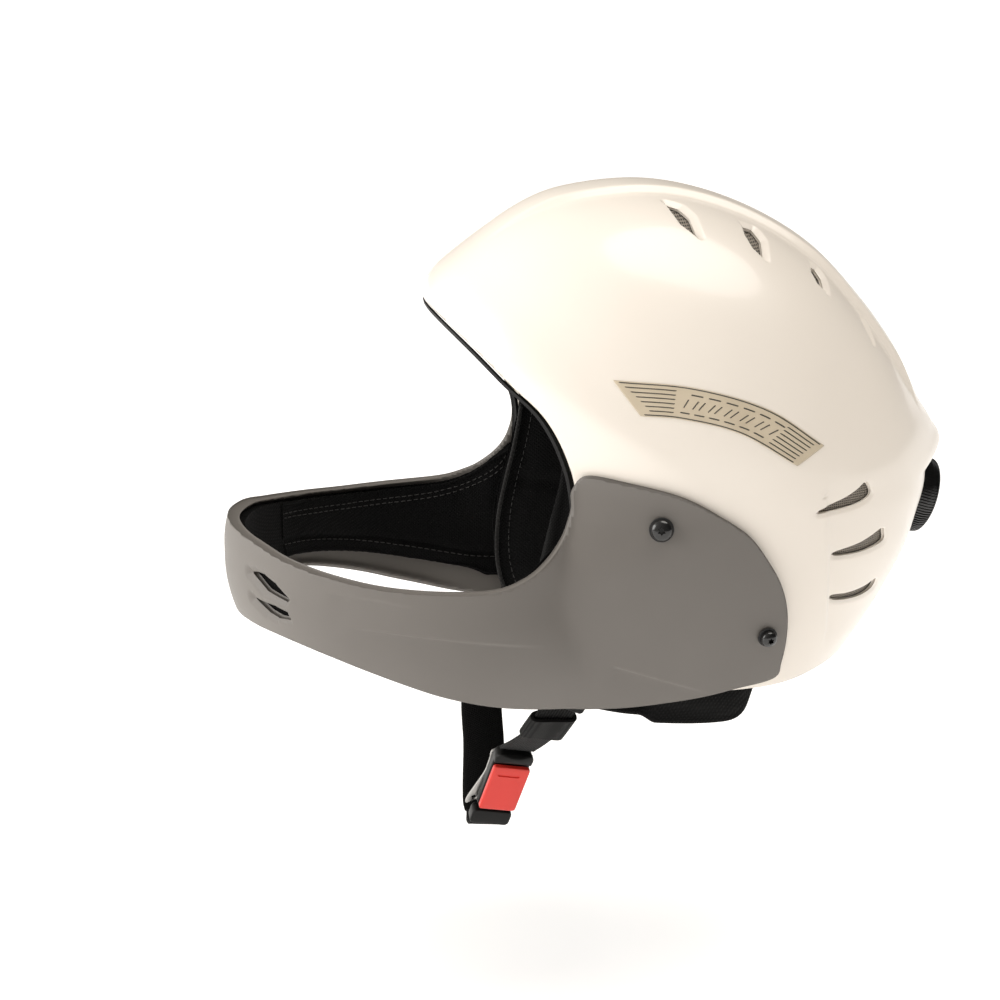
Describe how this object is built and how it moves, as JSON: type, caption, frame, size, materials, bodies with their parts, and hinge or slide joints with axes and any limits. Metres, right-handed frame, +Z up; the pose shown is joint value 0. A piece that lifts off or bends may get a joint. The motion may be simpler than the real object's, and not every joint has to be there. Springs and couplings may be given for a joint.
{
  "type": "full-face water sports helmet",
  "caption": "Full-face water sports helmet with vented shell, bolted chin guard, padded liner, fit dial and a buckled chin strap.",
  "frame": {"origin": "middle of the crown pad's underside, where the wearer's head bears", "axes": "the helmet faces -X, +Y is the wearer's right, +Z is up; the head lies below the origin"},
  "size_m": [0.3903, 0.2328, 0.3568],
  "materials": {
    "shell": "satin",
    "guard": "satin",
    "trim": "matte",
    "foam": "matte",
    "pad": "matte",
    "mesh": "matte",
    "black": "satin",
    "screw": "gloss",
    "rubber": "matte",
    "steel": "satin",
    "webbing": "matte",
    "red": "satin",
    "white": "satin",
    "band": "satin"
  },
  "bodies": {
    "helmet": {"outer_shell": "shell", "edge_trim": "trim", "foam_liner": "foam", "crown_pad": "pad", "brow_pad": "pad", "rear_pad": "pad", "chin_guard": "guard", "chin_grille": "trim", "gear_cover": "black", "gear_case": "black", "cheek_pad_left": "pad", "top_mesh_left": "mesh", "rear_mesh_left": "mesh", "chin_pad_left": "pad", "front_screw_left": "screw", "rear_screw_left": "screw", "front_washer_left": "rubber", "rear_washer_left": "rubber", "front_nut_left": "steel", "rear_nut_left": "steel", "strap_rivet_left": "steel", "side_band_left": "band", "cheek_pad_right": "pad", "top_mesh_right": "mesh", "rear_mesh_right": "mesh", "chin_pad_right": "pad", "front_screw_right": "screw", "rear_screw_right": "screw", "front_washer_right": "rubber", "rear_washer_right": "rubber", "front_nut_right": "steel", "rear_nut_right": "steel", "strap_rivet_right": "steel", "side_band_right": "band"},
    "dial": {"dial_knob": "black", "dial_spindle": "black", "dial_pinion": "white", "dial_screw": "steel"},
    "rack_left": {"fit_rack_left": "white"},
    "rack_right": {"fit_rack_right": "white"},
    "strap_left": {"strap_hanger_left": "steel", "left_strap": "webbing", "strap_fold": "webbing", "strap_keeper": "black", "buckle_housing": "black", "buckle_plate": "steel", "buckle_latch": "steel"},
    "button": {"buckle_button": "red"},
    "strap_right": {"strap_hanger_right": "steel", "right_strap": "webbing", "strap_sleeve": "pad"},
    "tongue": {"buckle_tongue": "steel", "tongue_grip": "black"}
  },
  "joints": [
    {"name": "dial_turn", "type": "hinge", "parent": "helmet", "child": "dial", "pos_m": [0.1542, 0, -0.139], "axis": [0.9537, 0, -0.3007], "range_deg": [-80, 80]},
    {"name": "rack_left_slide", "type": "slide", "parent": "helmet", "child": "rack_left", "axis": [0, 1, 0], "range_m": [-0.0071, 0.0071]},
    {"name": "rack_right_slide", "type": "slide", "parent": "helmet", "child": "rack_right", "axis": [0, 1, 0], "range_m": [-0.0071, 0.0071]},
    {"name": "strap_left_swing", "type": "hinge", "parent": "helmet", "child": "strap_left", "pos_m": [-0.038, -0.0863, -0.19], "axis": [0, 1, 0], "range_deg": [-6, 30]},
    {"name": "strap_right_swing", "type": "hinge", "parent": "helmet", "child": "strap_right", "pos_m": [-0.038, 0.0863, -0.19], "axis": [0, 1, 0], "range_deg": [-6, 30]},
    {"name": "button_press", "type": "slide", "parent": "strap_left", "child": "button", "axis": [0, 0.9171, 0.3987], "range_m": [0, 0.001], "stiffness_N_per_m": 300},
    {"name": "tongue_release", "type": "slide", "parent": "strap_right", "child": "tongue", "axis": [-0.2142, 0.3895, -0.8958], "range_m": [0, 0.014]}
  ],
  "couplings": [
    {"joint": "rack_left_slide", "follows": "dial_turn", "m_per_rad": 0.005},
    {"joint": "rack_right_slide", "follows": "dial_turn", "m_per_rad": -0.005},
    {"joint": "strap_right_swing", "follows": "strap_left_swing", "ratio": 1}
  ]
}
